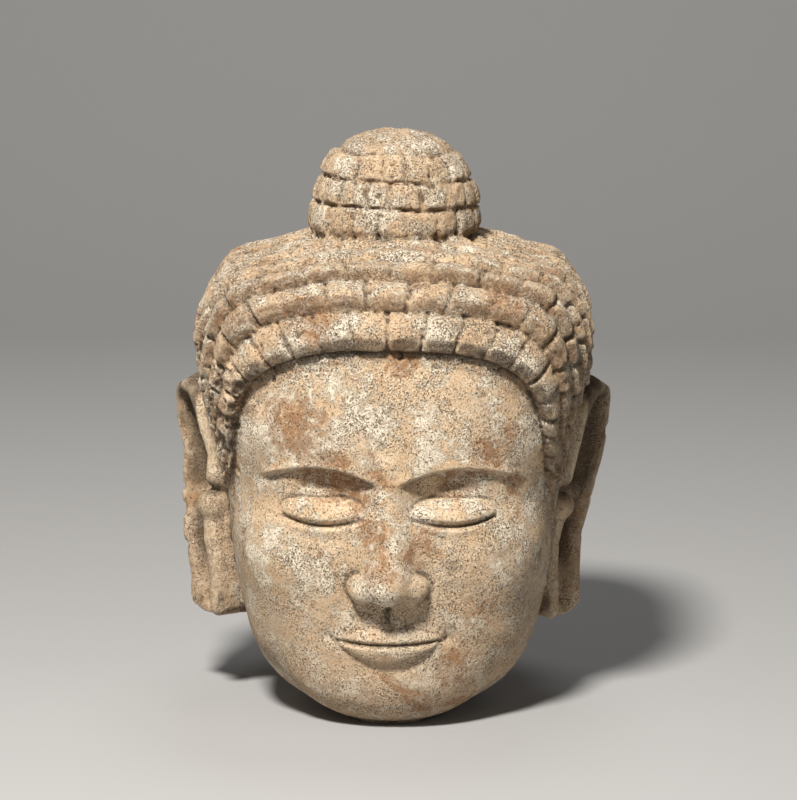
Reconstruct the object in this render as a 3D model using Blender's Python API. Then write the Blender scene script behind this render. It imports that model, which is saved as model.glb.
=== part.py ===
"""Carved stone head with a topknot, hair cut in rows of square curls and long-lobed ears.

The head is one block of stone. It faces -Y, +Z is up, and the origin is in the middle of its plan,
on the flat break under the neck that it stands on. Its carving is set out in parts, a carver's canon
in which the head is 300 parts high, and every mesh is scaled from parts to metres as it is made.
"""

import math

import bmesh
import bpy
import numpy as np
from mathutils import Vector

HEIGHT = 0.300
CANON = 300.0
PART = HEIGHT / CANON

# Hair mass: a block with rounded corners, squarer over the brow than at the temples and from the side
HAIR_HALF_WIDTH = 103.0
HAIR_HALF_DEPTH = 103.5
HAIR_CENTRE_Y = 10.0
HAIR_CENTRE_Z = 180.0
HAIR_RISE = 65.0
HAIR_DROP = 150.0
HAIR_FRONT_POWER = 3.2
HAIR_SIDE_POWER = 3.0
HAIR_BROW_POWER = 4.0
HAIR_BROW_Z = 190.0
HAIR_TEMPLE_POWER = 2.5
HAIR_TEMPLE_Z = 120.0
HAIR_TAPER = 0.105
HAIR_TAPER_TOP = 20.0
HAIR_TAPER_BOTTOM = -60.0
HAIR_SHELL = 0.62

# Hair rows: each row line lies in a plane from a foot on the hair's lower edge to a place on its middle line
HAIRLINE_Z = 200.0
NAPE_Z = 74.0
TEMPLE_Y = -57.0
TEMPLE_Z = 131.0
LAST_FOOT_Y = 78.0
LAST_FOOT_Z = 77.0
CARVED_ROWS = 13
PLAIN_ROWS = 8
CURLS_ACROSS = 20
CURL_GROOVE = 1.1
CURL_RELIEF = 2.6
FRINGE_RELIEF = 4.4
GROOVE_DEPTH = 1.2
HAIR_MIDDLE = (0.0, 8.0, 188.0)

# Topknot: a dome of curls sunk in the crown, whose bands lie at shares of its height
KNOT_Y = 9.0
KNOT_RADIUS = 45.5
KNOT_SINK = 13.0
KNOT_BASE_Z = HAIR_CENTRE_Z + HAIR_RISE - KNOT_SINK
KNOT_HEIGHT = CANON - KNOT_BASE_Z
KNOT_WIDEST_Z = KNOT_BASE_Z + 0.25 * KNOT_HEIGHT
KNOT_UNDERCUT = 0.9
KNOT_POWER = 2.9
KNOT_ROUNDNESS = 2.2
KNOT_RING_SHARES = (0.125, 0.448, 0.647, 0.846)
KNOT_CAP_SHARE = 0.941
KNOT_CURLS = 18
KNOT_RELIEF = 2.0

# Ears: slabs that flare out from the head, with a rolled rim and a long slit lobe, whose middle lines are
# given by distance back from the ear's front edge and height
EAR_FRONT_X = 87.0
EAR_LOBE_SHIFT = 8.0
EAR_FRONT_Y = -14.0
EAR_FLARE = math.radians(46.0)
EAR_TOP = 171.0
EAR_BOTTOM = 42.0
EAR_WIDTH_TOP = 35.5
EAR_WIDTH_BOTTOM = 30.0
EAR_TOP_ROUNDING = 24.0
EAR_BOTTOM_ROUNDING = 9.0
EAR_TIP_SHARE = 0.3
EAR_CROWDING = 0.09
EAR_THICKNESS = 26.0
EAR_THINNING = 0.5
EAR_STEPS_ACROSS = 10
EAR_STEPS_UP = 18
EAR_RIM = (
    (5, 110),
    (5.5, 122),
    (7, 138),
    (10, 147),
    (14, 156),
    (19, 163),
    (25, 163),
    (30, 158),
    (32, 148),
    (32, 110),
    (29, 85),
    (25, 58),
)
EAR_LOBE = ((9, 103), (9, 85), (8, 54))

# Neck stump, broken off under the jaw and standing flat
NECK_Y = 19.0
NECK_HALF_WIDTH = 39.0
NECK_HALF_DEPTH = 50.0
NECK_BELOW = 14.0
NECK_TOP = 100.0

# Mesh of the face and skull: the cells of one side of the cube that is blown up to a ball
SKULL_CELLS = 60
SKULL_CROWDING = 0.35
SKULL_KEPT = 0.074
RAY_ORIGIN = (0.0, -10.0, 112.0)
RAY_REACH = 170.0
RAY_HALVINGS = 22

STONE = (0.62, 0.50, 0.36, 1.0)
STONE_ROUGHNESS = 0.92


# Solids of the face, as distances in parts

def smooth_union(a, b, blend):
    share = np.clip(0.5 + 0.5 * (b - a) / blend, 0.0, 1.0)
    return b * (1.0 - share) + a * share - blend * share * (1.0 - share)


def smooth_cut(a, b, blend):
    return -smooth_union(-a, b, blend)


def ellipsoid(p, centre, half, power=2.0):
    """A power above 2 fills the form out towards a box with rounded corners."""
    q = p - np.array(centre)
    size = np.sum(np.abs(q / np.array(half)) ** power, axis=-1) ** (1.0 / power)
    return (1.0 - 1.0 / np.maximum(size, 1e-6)) * np.linalg.norm(q, axis=-1)


def tapered_rod(p, start, end, start_radius, end_radius):
    a = np.array(start)
    along = np.array(end) - a
    share = np.clip(((p - a) @ along) / (along @ along), 0.0, 1.0)
    nearest = a + share[..., None] * along
    return np.linalg.norm(p - nearest, axis=-1) - (start_radius + share * (end_radius - start_radius))


def neck_post(p):
    q = np.stack([p[..., 0] / NECK_HALF_WIDTH, (p[..., 1] - NECK_Y) / NECK_HALF_DEPTH], axis=-1)
    side = (np.linalg.norm(q, axis=-1) - 1.0) * NECK_HALF_WIDTH
    ends = np.maximum(p[..., 2] - NECK_TOP, -NECK_BELOW - p[..., 2])
    return np.maximum(side, ends)


def skull_distance(p):
    """Distance to the bare head: skull, face masses, nose and neck. Both sides are alike."""
    m = np.concatenate([np.abs(p[..., :1]), p[..., 1:]], axis=-1)
    form = ellipsoid(m, (0, 7, 164), (92, 94, 74), 2.7)
    form = smooth_union(form, ellipsoid(m, (0, -20, 172), (87, 73, 58), 3.0), 8)
    form = smooth_union(form, ellipsoid(m, (0, -10, 122), (86, 84, 96), 2.3), 16)
    form = smooth_union(form, ellipsoid(m, (0, -22, 72), (78, 71, 73), 2.5), 18)
    form = smooth_union(form, ellipsoid(m, (44, -57, 90), (29, 29, 28)), 14)
    form = smooth_union(form, ellipsoid(m, (0, -66, 27), (43, 26, 26)), 16)
    form = smooth_union(form, ellipsoid(m, (0, -70, 47), (34, 23, 21)), 10)
    form = smooth_union(form, neck_post(m), 10)
    form = smooth_cut(form, ellipsoid(m, (34, -98, 125), (26, 15, 12)), 10)
    form = smooth_union(form, ellipsoid(m, (34, -66, 117), (20, 22, 14)), 3)
    form = smooth_union(form, tapered_rod(m, (0, -84, 138), (0, -97, 84), 8, 11.5), 9)
    form = smooth_union(form, ellipsoid(m, (0, -102, 79), (12, 11, 10)), 6)
    form = smooth_union(form, ellipsoid(m, (13, -94, 76), (8, 11, 8)), 5)
    return form


def between(value, low, high):
    share = np.clip((value - low) / (high - low), 0.0, 1.0)
    return share * share * (3.0 - 2.0 * share)


def bump(value, half_width):
    return np.exp(-((value / half_width) ** 2))


def arch(x, half_width, power):
    return np.clip(1.0 - np.abs(x / half_width) ** 2, 0.0, 1.0) ** power


def lip(share):
    """Roundness of a lip, from the parting at 0 to its outer edge at 1."""
    return between(share, -0.12, 0.12) * (1.0 - np.clip(share, 0, 1) ** 2.2)


def face_relief(x, z):
    """Height in parts of the brows, lids and lips over the face, by place across and up it."""
    side = np.abs(x)
    brow_z = 131 + 9 * np.sin(np.clip((side - 4) / 66, 0, 1) * math.pi) ** 0.9
    brow = 1.9 * bump(z - brow_z, 2.6) * between(side, 4, 10) * (1 - between(side, 60, 70))
    eye = side - 34
    lid_z = 114 - 4.0 * arch(eye, 19, 1.0)
    inside = arch(eye, 20, 0.5)
    lid = inside * (1.8 * between(z - lid_z, -1.2, 0.8) * (1 - between(z - lid_z, 8, 17)))
    slit = -1.6 * inside * bump(z - lid_z + 2.2, 1.5)
    crease = -1.2 * arch(eye, 23, 0.6) * bump(z - lid_z - 13.5 * arch(eye, 24, 0.6), 1.4)
    mouth_z = 47 + 1.8 * (side / 27) ** 2
    upper_z = mouth_z + 0.5 + 8.5 * arch(x, 28, 0.7) - 1.6 * bump(x, 4)
    lower_z = mouth_z - 0.5 - 11.0 * arch(x, 26, 0.8)
    full = arch(x, 29, 0.6)
    upper = 2.8 * full * lip((z - mouth_z) / (upper_z - mouth_z))
    lower = 3.2 * full * lip((mouth_z - z) / (mouth_z - lower_z))
    lips = upper + lower
    parting = -2.6 * bump(z - mouth_z, 1.3) * arch(x, 28, 0.4)
    philtrum = -1.2 * bump(x, 3.0) * between(z, 55, 58) * (1 - between(z, 65, 68))
    return brow + lid + slit + crease + lips + parting + philtrum


# Skull and face mesh

def crowded(values):
    """Grid places from -1 to 1, set closer together near 0 where the features are."""
    return (1.0 - SKULL_CROWDING) * values + SKULL_CROWDING * values**3


def ball_directions(bm):
    """Unit directions from the corners of a subdivided cube, even in angle and crowded in front."""
    corners = np.array([v.co for v in bm.verts])
    warped = np.tan(crowded(corners) * math.pi / 4)
    return warped / np.linalg.norm(warped, axis=1, keepdims=True)


def reach(directions, distance):
    """How far from the ray origin each direction meets the form, by halving."""
    origin = np.array(RAY_ORIGIN)
    low = np.zeros(len(directions))
    high = np.full(len(directions), RAY_REACH)
    for _ in range(RAY_HALVINGS):
        middle = 0.5 * (low + high)
        inside = distance(origin + middle[:, None] * directions) < 0
        low = np.where(inside, middle, low)
        high = np.where(inside, high, middle)
    return low


def skull_mesh():
    bm = bmesh.new()
    bmesh.ops.create_cube(bm, size=2.0)
    bmesh.ops.subdivide_edges(bm, edges=bm.edges[:], cuts=SKULL_CELLS - 1, use_grid_fill=True)
    directions = ball_directions(bm)
    points = np.array(RAY_ORIGIN) + reach(directions, skull_distance)[:, None] * directions
    front = between(-points[:, 1], 40, 70)
    points += (face_relief(points[:, 0], points[:, 2]) * front)[:, None] * directions
    for vert, point in zip(bm.verts, points):
        vert.co = point * PART
    return bm


# Hair surface and its rows

def hair_level(x, y, z):
    """Below 1 inside the hair mass and above 1 outside it."""
    up = z - HAIR_CENTRE_Z
    half_width = HAIR_HALF_WIDTH * (1.0 - HAIR_TAPER * between(-up, -HAIR_TAPER_TOP, -HAIR_TAPER_BOTTOM))
    across = np.abs(x / half_width) ** HAIR_FRONT_POWER
    high = np.abs(up / np.where(up > 0, HAIR_RISE, HAIR_DROP)) ** HAIR_FRONT_POWER
    back = (y - HAIR_CENTRE_Y) / HAIR_HALF_DEPTH
    rise = between(z, HAIR_TEMPLE_Z, HAIR_BROW_Z)
    front_power = HAIR_TEMPLE_POWER + (HAIR_BROW_POWER - HAIR_TEMPLE_POWER) * rise
    deep = np.abs(back) ** np.where(back < 0, front_power, HAIR_SIDE_POWER)
    return (across + high) ** (HAIR_SIDE_POWER / HAIR_FRONT_POWER) + deep


def hair_points(foot, head, turn):
    """Points of the hair on the plane through foot and head, turned away from the line between them."""
    turn = np.asarray(turn, float)
    up = (head - foot) / np.linalg.norm(head - foot)
    low = np.zeros(turn.shape)
    high = np.full(turn.shape, 2.5 * HAIR_HALF_DEPTH)

    def at(radius):
        rise = radius * np.cos(turn)
        return np.stack([radius * np.sin(turn), foot[0] + rise * up[0], foot[1] + rise * up[1]], axis=-1)

    for _ in range(RAY_HALVINGS):
        middle = 0.5 * (low + high)
        inside = hair_level(*np.moveaxis(at(middle), -1, 0)) < 1
        low = np.where(inside, middle, low)
        high = np.where(inside, high, middle)
    return at(low)


def evenly(points, count):
    """count + 1 points spaced evenly along a run of points."""
    steps = np.linalg.norm(np.diff(points, axis=0), axis=1)
    run = np.concatenate([[0.0], np.cumsum(steps)])
    places = np.linspace(0.0, run[-1], count + 1)
    return np.stack([np.interp(places, run, points[:, axis]) for axis in range(points.shape[1])], axis=-1)


def middle_line():
    """The hair's middle line, from the hairline over the crown to the nape, as places (y, z)."""
    turns = np.linspace(-math.pi, math.pi, 2001)
    reach_out = np.zeros(turns.shape)
    step = 2.5 * HAIR_HALF_DEPTH
    for _ in range(RAY_HALVINGS):
        step *= 0.5
        trial = reach_out + step
        y = HAIR_CENTRE_Y + trial * np.sin(turns)
        z = HAIR_CENTRE_Z + trial * np.cos(turns)
        reach_out = np.where(hair_level(0.0, y, z) < 1, trial, reach_out)
    y = HAIR_CENTRE_Y + reach_out * np.sin(turns)
    z = HAIR_CENTRE_Z + reach_out * np.cos(turns)
    kept = z > np.where(turns < 0, HAIRLINE_Z, NAPE_Z)
    return np.stack([y[kept], z[kept]], axis=-1)


def row_lines():
    """Points of every row line of the hair, front to back, sunk to the bottom of the grooves."""
    heads = evenly(middle_line(), CARVED_ROWS + PLAIN_ROWS)
    shares = np.linspace(0.0, 1.0, len(heads))[:, None]
    feet = (1 - shares) * np.array([TEMPLE_Y, TEMPLE_Z]) + shares * np.array([LAST_FOOT_Y, LAST_FOOT_Z])
    turns = np.linspace(-math.pi / 2, math.pi / 2, 401)
    rows = np.array(
        [evenly(hair_points(foot, head, turns), 2 * CURLS_ACROSS) for foot, head in zip(feet, heads)]
    )
    inward = np.array(HAIR_MIDDLE) - rows
    return rows + GROOVE_DEPTH * inward / np.linalg.norm(inward, axis=-1, keepdims=True)


def under_knot(centre):
    return math.hypot(centre[0], centre[1] - KNOT_Y * PART) < (KNOT_RADIUS - 6) * PART


def grid_of(bm, points):
    """A grid of quads through an array of points, rows first. Its vertices come back as the array."""
    rows, columns = points.shape[:2]
    verts = bmesh.ops.create_grid(bm, x_segments=columns - 1, y_segments=rows - 1, size=1.0)["verts"]
    verts.sort(key=lambda v: (round(v.co.y, 4), v.co.x))
    grid = [verts[r * columns : (r + 1) * columns] for r in range(rows)]
    for line, places in zip(grid, points):
        for vert, place in zip(line, places):
            vert.co = place * PART
    return grid


def joined_pairs(bm, grid, rows, wrap):
    """Joins neighbouring cells of the given rows two by two, each row set half a curl from the last."""
    gone = []
    columns = len(grid[0])
    for row in rows:
        for column in range(0 if wrap else 1, columns - (0 if wrap else 1)):
            if (column + row) % 2:
                gone.append(bm.edges.get((grid[row][column], grid[row + 1][column])))
    bmesh.ops.dissolve_edges(bm, edges=gone, use_verts=False)


def raise_curls(bm, faces, relief):
    bmesh.ops.inset_individual(
        bm, faces=faces, thickness=CURL_GROOVE * PART, depth=(relief + GROOVE_DEPTH) * PART
    )


def hair_mesh():
    """A thick shell over the skull whose outer faces are the curls, raised from grooves."""
    bm = bmesh.new()
    grid = grid_of(bm, row_lines())
    bmesh.ops.recalc_face_normals(bm, faces=bm.faces[:])
    shell = bmesh.ops.extrude_face_region(bm, geom=bm.faces[:], use_keep_orig=True)
    middle = Vector(HAIR_MIDDLE) * PART
    for vert in (g for g in shell["geom"] if isinstance(g, bmesh.types.BMVert)):
        vert.co = middle + HAIR_SHELL * (vert.co - middle)
    joined_pairs(bm, grid, range(CARVED_ROWS), wrap=False)
    bmesh.ops.recalc_face_normals(bm, faces=bm.faces[:])
    fringe = set(grid[0])
    carved = {vert for line in grid[: CARVED_ROWS + 1] for vert in line}
    front, rest = [], []
    for face in bm.faces:
        corners = set(face.verts)
        if not corners <= carved or under_knot(face.calc_center_median()):
            continue
        (front if corners & fringe else rest).append(face)
    raise_curls(bm, front, FRINGE_RELIEF)
    raise_curls(bm, rest, CURL_RELIEF)
    return bm


# Topknot

def knot_radius(z):
    above = np.clip((z - KNOT_WIDEST_Z) / (CANON - KNOT_WIDEST_Z), 0.0, 1.0)
    below = np.clip(KNOT_WIDEST_Z - z, 0.0, None)
    return KNOT_RADIUS * (1.0 - above**KNOT_POWER) ** (1.0 / KNOT_ROUNDNESS) - KNOT_UNDERCUT * below


def knot_mesh():
    """A turned dome whose lower bands are cut into curls like those of the hair."""
    bm = bmesh.new()
    heights = KNOT_BASE_Z + KNOT_HEIGHT * np.array([0.0, *KNOT_RING_SHARES, KNOT_CAP_SHARE])
    sunk = np.full(len(heights), GROOVE_DEPTH)
    sunk[[0, -1]] = 0.0
    profile = [
        bm.verts.new((0.0, (KNOT_Y - radius) * PART, z * PART))
        for radius, z in zip(knot_radius(heights) - sunk, heights)
    ]
    edges = [bm.edges.new(pair) for pair in zip(profile, profile[1:])]
    axis = (0.0, KNOT_Y * PART, 0.0)
    count = 2 * KNOT_CURLS
    bmesh.ops.spin(
        bm, geom=profile + edges, cent=axis, axis=(0, 0, 1), angle=2 * math.pi, steps=count, use_merge=True
    )
    rings = []
    for z in heights:
        ring = [v for v in bm.verts if abs(v.co.z - z * PART) < 1e-6]
        ring.sort(key=lambda v: (math.atan2(v.co.x, axis[1] - v.co.y) + 0.01) % (2 * math.pi))
        rings.append(ring)
    bm.faces.new(rings[0])
    tip = bm.verts.new((0.0, axis[1], CANON * PART))
    for i, vert in enumerate(rings[-1]):
        bm.faces.new((vert, rings[-1][(i + 1) % count], tip))
    joined_pairs(bm, rings, range(1, len(KNOT_RING_SHARES)), wrap=True)
    bmesh.ops.recalc_face_normals(bm, faces=bm.faces[:])
    low, high = heights[1] * PART - 1e-6, heights[-2] * PART + 1e-6
    curls = [f for f in bm.faces if len(f.verts) > 4 and all(low < v.co.z < high for v in f.verts)]
    raise_curls(bm, curls, KNOT_RELIEF)
    return bm


# Ear surface and its relief

def stroke_distance(u, v, points):
    """Distance across the ear's face to a line through points, and how far along it the nearest place is."""
    spot = np.stack([u, v], axis=-1)
    best = np.full(u.shape, np.inf)
    along = np.zeros(u.shape)
    ends = np.array(points, float)
    for i, (a, b) in enumerate(zip(ends[:-1], ends[1:])):
        step = b - a
        share = np.clip(((spot - a) @ step) / (step @ step), 0.0, 1.0)
        gap = np.linalg.norm(spot - (a + share[..., None] * step), axis=-1)
        along = np.where(gap < best, (i + share) / (len(ends) - 1), along)
        best = np.minimum(gap, best)
    return best, along


def roll(gap, half_width):
    """Cross-section of a rolled rim, 1 on its crest and 0 beyond its half width."""
    return np.sqrt(np.clip(1.0 - (gap / half_width) ** 2, 0.0, 1.0))


def ear_relief(u, v):
    """Height in parts of the rim, hollow and lobe over the ear's slab."""
    rim_gap, rim_along = stroke_distance(u, v, EAR_RIM)
    rim = (8.0 - 4.0 * between(rim_along, 0.4, 0.75)) * roll(rim_gap, 6.5 - 2.0 * rim_along)
    lobe_gap, _ = stroke_distance(u, v, EAR_LOBE)
    lobe = 8.5 * (1 - between(lobe_gap, 6.5, 9.5)) * (1 - between(v, 108, 112))
    return np.maximum(rim, lobe)


def ear_root(v):
    """How far out the front of the ear lies: the lobe hangs closer to the jaw than the top."""
    return EAR_FRONT_X - EAR_LOBE_SHIFT * (1 - between(v, 70, 140))


def ear_points(across, up, relief=1.0):
    """Ear surface from shares across and up it: its ends are rounded and it narrows to the lobe."""
    up = up - EAR_CROWDING * np.sin(2 * math.pi * up)
    v = EAR_BOTTOM + (EAR_TOP - EAR_BOTTOM) * up
    width = EAR_WIDTH_BOTTOM + (EAR_WIDTH_TOP - EAR_WIDTH_BOTTOM) * between(up, 0.0, 0.75)
    end = np.minimum((v - EAR_BOTTOM) / EAR_BOTTOM_ROUNDING, (EAR_TOP - v) / EAR_TOP_ROUNDING)
    rounding = EAR_TIP_SHARE + (1 - EAR_TIP_SHARE) * np.sqrt(1 - (1 - np.clip(end, 0, 1)) ** 2)
    u = width * (0.5 + (across - 0.5) * rounding)
    out = relief * ear_relief(u, v)
    x = ear_root(v) + u * math.sin(EAR_FLARE) + out * math.cos(EAR_FLARE)
    y = EAR_FRONT_Y + u * math.cos(EAR_FLARE) - out * math.sin(EAR_FLARE)
    return np.stack([x, y, v], axis=-1)


def ear_mesh():
    """The ear's outer face with its relief, and a web of stone behind it that thins towards the rim."""
    bm = bmesh.new()
    bmesh.ops.create_grid(bm, x_segments=EAR_STEPS_ACROSS, y_segments=EAR_STEPS_UP, size=0.5)
    shares = np.array([v.co for v in bm.verts])[:, :2] + 0.5
    web = bmesh.ops.extrude_face_region(bm, geom=bm.faces[:], use_keep_orig=True)
    back = [g for g in web["geom"] if isinstance(g, bmesh.types.BMVert)]
    back_shares = np.array([v.co for v in back])[:, :2] + 0.5
    for vert, point in zip(list(bm.verts)[: len(shares)], ear_points(shares[:, 0], shares[:, 1])):
        vert.co = point * PART
    flat = ear_points(back_shares[:, 0], back_shares[:, 1], relief=0.0)
    inward = np.array([-math.cos(EAR_FLARE), math.sin(EAR_FLARE), 0.0])
    depth = EAR_THICKNESS * (1.0 - EAR_THINNING * back_shares[:, 0])
    for vert, point in zip(back, flat + depth[:, None] * inward):
        vert.co = point * PART
    bmesh.ops.recalc_face_normals(bm, faces=bm.faces[:])
    return bm


# Objects

def stone_material():
    material = bpy.data.materials.new("weathered_stone")
    material.use_nodes = True
    shader = material.node_tree.nodes["Principled BSDF"]
    shader.inputs["Base Color"].default_value = STONE
    shader.inputs["Roughness"].default_value = STONE_ROUGHNESS
    shader.inputs["Metallic"].default_value = 0.0
    return material


def make_object(name, bm, collection, material):
    mesh = bpy.data.meshes.new(name)
    bm.to_mesh(mesh)
    bm.free()
    obj = bpy.data.objects.new(name, mesh)
    mesh.materials.append(material)
    collection.objects.link(obj)
    return obj


def thin_out(obj, share):
    """Keeps a share of the faces: most of them go where the surface is plain."""
    modifier = obj.modifiers.new("thin_out", "DECIMATE")
    modifier.ratio = share


def make_helper(name, bm, collection, material):
    helper = make_object(name, bm, collection, material)
    helper.hide_render = True
    helper.display_type = "WIRE"
    return helper


def mirrored(bm):
    copy = bm.copy()
    for vert in copy.verts:
        vert.co.x = -vert.co.x
    bmesh.ops.reverse_faces(copy, faces=copy.faces[:])
    return copy


def floor_block():
    """What is cut away below the standing plane."""
    bm = bmesh.new()
    bmesh.ops.create_cube(bm, size=CANON * PART)
    bmesh.ops.translate(bm, verts=bm.verts[:], vec=(0.0, 0.0, -0.5 * CANON * PART))
    return bm


def boolean(obj, operation, other):
    modifier = obj.modifiers.new(other.name, "BOOLEAN")
    modifier.operation = operation
    modifier.solver = "EXACT"
    modifier.object = other


def build():
    for obj in list(bpy.data.objects):
        bpy.data.objects.remove(obj)
    parts = bpy.data.collections.new("buddha_head")
    helpers = bpy.data.collections.new("carving_helpers")
    bpy.context.scene.collection.children.link(parts)
    bpy.context.scene.collection.children.link(helpers)
    stone = stone_material()

    head = make_object("head", skull_mesh(), parts, stone)
    thin_out(head, SKULL_KEPT)
    right_ear = ear_mesh()
    left_ear = mirrored(right_ear)
    masses = {
        "hair_mass": hair_mesh(),
        "topknot_mass": knot_mesh(),
        "ear_mass_right": right_ear,
        "ear_mass_left": left_ear,
    }
    for name, bm in masses.items():
        boolean(head, "UNION", make_helper(name, bm, helpers, stone))
    boolean(head, "DIFFERENCE", make_helper("floor_cut", floor_block(), helpers, stone))


build()
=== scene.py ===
"""Look of the carved stone head: its weathered surface, its material, and a studio view of it.

The base forms are those of the CAD model, set out in parts (millimetres at the head's own size, 300
parts high). Skull, hair, topknot and ears are built on fine meshes with their curls and folds, fused
by a voxel remesh, and then worked point by point: brows, lids and lips, grain, worn edges and chips.
Left and right are as seen from the front.
"""

import math

import bmesh
import bpy
import numpy as np
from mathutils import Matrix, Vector

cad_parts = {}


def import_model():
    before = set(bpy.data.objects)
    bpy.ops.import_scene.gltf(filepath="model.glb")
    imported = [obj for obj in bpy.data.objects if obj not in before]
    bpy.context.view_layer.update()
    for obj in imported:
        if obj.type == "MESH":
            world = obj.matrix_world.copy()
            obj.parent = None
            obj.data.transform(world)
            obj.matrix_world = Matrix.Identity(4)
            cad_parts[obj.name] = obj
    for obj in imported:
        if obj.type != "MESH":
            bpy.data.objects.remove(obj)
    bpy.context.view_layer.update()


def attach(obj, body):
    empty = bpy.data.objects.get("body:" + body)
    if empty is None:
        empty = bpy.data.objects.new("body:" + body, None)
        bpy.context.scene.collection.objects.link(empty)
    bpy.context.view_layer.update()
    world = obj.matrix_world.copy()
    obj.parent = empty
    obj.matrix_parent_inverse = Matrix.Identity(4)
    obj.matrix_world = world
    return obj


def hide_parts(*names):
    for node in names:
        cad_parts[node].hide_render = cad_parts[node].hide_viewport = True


PART = 0.001
PIECE = "weathered_head"
SLOT = "weathered_stone"
TRIANGLES = 192_000

# Hair mass and its rows
HAIR_HALF_WIDTH = 103.0
HAIR_HALF_DEPTH = 103.5
HAIR_CENTRE_Y = 10.0
HAIR_CENTRE_Z = 180.0
HAIR_RISE = 65.0
HAIR_DROP = 150.0
HAIR_FRONT_POWER = 3.2
HAIR_SIDE_POWER = 3.0
HAIR_BROW_POWER = 4.0
HAIR_BROW_Z = 190.0
HAIR_TEMPLE_POWER = 2.5
HAIR_TEMPLE_Z = 120.0
HAIR_TAPER = 0.105
HAIR_TAPER_TOP = 20.0
HAIR_TAPER_BOTTOM = -60.0
HAIR_DEPTH = 28.0
HAIRLINE_Z = 200.0
NAPE_Z = 74.0
TEMPLE_Y = -57.0
TEMPLE_Z = 131.0
LAST_FOOT_Y = 78.0
LAST_FOOT_Z = 77.0
ROWS = 21
STEPS_PER_ROW = 18
STEPS_ACROSS = 420
TURN_STEPS = 400
MIDDLE_STEPS = 2000
HAIR_REACH = 2.5 * HAIR_HALF_DEPTH
HAIR_HALVINGS = 22
CURLS_ACROSS = 20
CURL_WIDTH = 15.0
GROOVE_DEPTH = 1.6
CURL_RELIEF = 4.8
FRINGE_RELIEF = 5.0
OVERHANG = 1.2
EAR_CLEARANCE = 2.6
TEMPLE_LUMPS = 3.4

# Shares of a curl's height worn off it in patches, on the crown and behind, and the most in all
PATCH_WEAR = 0.35
CROWN_WEAR = 0.6
BACK_WEAR = 0.2
MOST_WEAR = 0.85

# How far the whole hair is worn back
SIDE_SINK = 1.2
SHOULDER_SINK = 3.4
BACK_SINK = 1.5

# How closely curls follow one another in the middle of the front: below 1 makes them wider there
FRONT_CROWDING = 0.8

# Topknot
KNOT_Y = 9.0
KNOT_RADIUS = 43.6
KNOT_TOP = 300.0
KNOT_CAP_Z = 292.0
KNOT_WIDEST_Z = 249.0
KNOT_BASE_Z = 232.0
KNOT_UNDERCUT = 9.0
KNOT_POWER = 2.0
KNOT_ROUNDNESS = 2.63
KNOT_RINGS = (240.5, 262.5, 276.0, 289.5)
KNOT_TILT = 0.03
KNOT_CURLS = 18
KNOT_CURL_WIDTH = 2 * math.pi * KNOT_RADIUS / KNOT_CURLS
KNOT_STEPS = 420
KNOT_RELIEF = 2.7
KNOT_GROOVE_DEPTH = 2.3

# Share of a band's height at which its curls bulge most
KNOT_CREST = 0.40

# Farther than any carved line reaches
FAR = 99.0

# Ears. Helix, rim, lobe and slit are middle lines of places (back from the front edge, height).
EAR_FRONT_X = 87.0
EAR_LOBE_SHIFT = 8.0
EAR_FRONT_Y = -14.0
EAR_FLARE = math.radians(46.0)
EAR_TOP = 171.0
EAR_BOTTOM = 42.0
EAR_WIDTH_TOP = 35.5
EAR_WIDTH_BOTTOM = 30.0
EAR_TOP_ROUNDING = 24.0
EAR_BOTTOM_ROUNDING = 9.0
EAR_TIP_SHARE = 0.3
EAR_THICKNESS = 26.0
EAR_THINNING = 0.5
EAR_HELIX = ((6, 108), (6, 122), (7, 134), (9, 146), (12, 156), (16.5, 163), (22, 165.5))
EAR_RIM = ((22, 165.5), (28, 163.5), (32.5, 158), (34, 148), (33.5, 130), (31, 100), (28, 70), (25, 50))
EAR_LOBE = ((8, 103), (7.5, 94), (6.5, 84), (6.5, 48))
EAR_SLIT = ((21.5, 103), (21, 80), (19, 50))
EAR_STEPS_ACROSS = 90
EAR_STEPS_UP = 190

# Heights and half widths of the ear's forms over its slab; the knob is the thick top of the lobe
HELIX_RELIEF = 9.0
HELIX_HALF_WIDTH = 5.2
RIM_RELIEF = 7.0
RIM_HALF_WIDTH = 3.8
LOBE_RELIEF = 7.0
LOBE_HALF_WIDTH = 5.8
KNOB_RELIEF = 3.5
KNOB_WIDENING = 2.2
SLIT_DEPTH = 7.5
SLIT_HALF_WIDTH = 3.2
SHELL_DEPTH = 7.5
STRIP_RELIEF = 2.2

# Below the ear's deepest hollow, so that a raised form ends at its own width
EAR_SUNK = -9.0

# How far each worn ear strays outwards from its even place, by height
EAR_STRAY_Z = (60, 84, 102, 115, 130, 146, 165)
LEFT_STRAY = (7.0, 9.4, 6.0, 2.8, -0.8, 2.2, 3.2)
RIGHT_STRAY = (-3.2, -3.8, -3.2, -3.2, -2.0, -0.4, 1.8)

# Where the face's lines fade in from the sides, and where the topknot begins to count as hair
FACE_FRONT = (40.0, 62.0)
KNOT_HAIR_Z = (236.0, 242.0)

# Depths of the stone's grain, coarse and fine, on bare stone and what the hair adds, and of its wear
COARSE_GRAIN = 0.22
FINE_GRAIN = 0.10
HAIR_COARSE_GRAIN = 0.50
HAIR_FINE_GRAIN = 0.26
CHIP_DEPTH = 0.25
HAIR_CHIP_DEPTH = 0.9
RAGGED_DEPTH = 1.9
BREAK_DEPTH = 1.0

# Neck
NECK_Y = 19.0
NECK_HALF_WIDTH = 39.0
NECK_HALF_DEPTH = 50.0
NECK_TOP = 100.0

# Mesh sizes
SKULL_CELLS = 150
RAY_ORIGIN = (0.0, -10.0, 112.0)
RAY_LOW = 40.0
RAY_HIGH = 175.0
SKULL_HALVINGS = 16
VOXEL = 0.85

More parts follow.
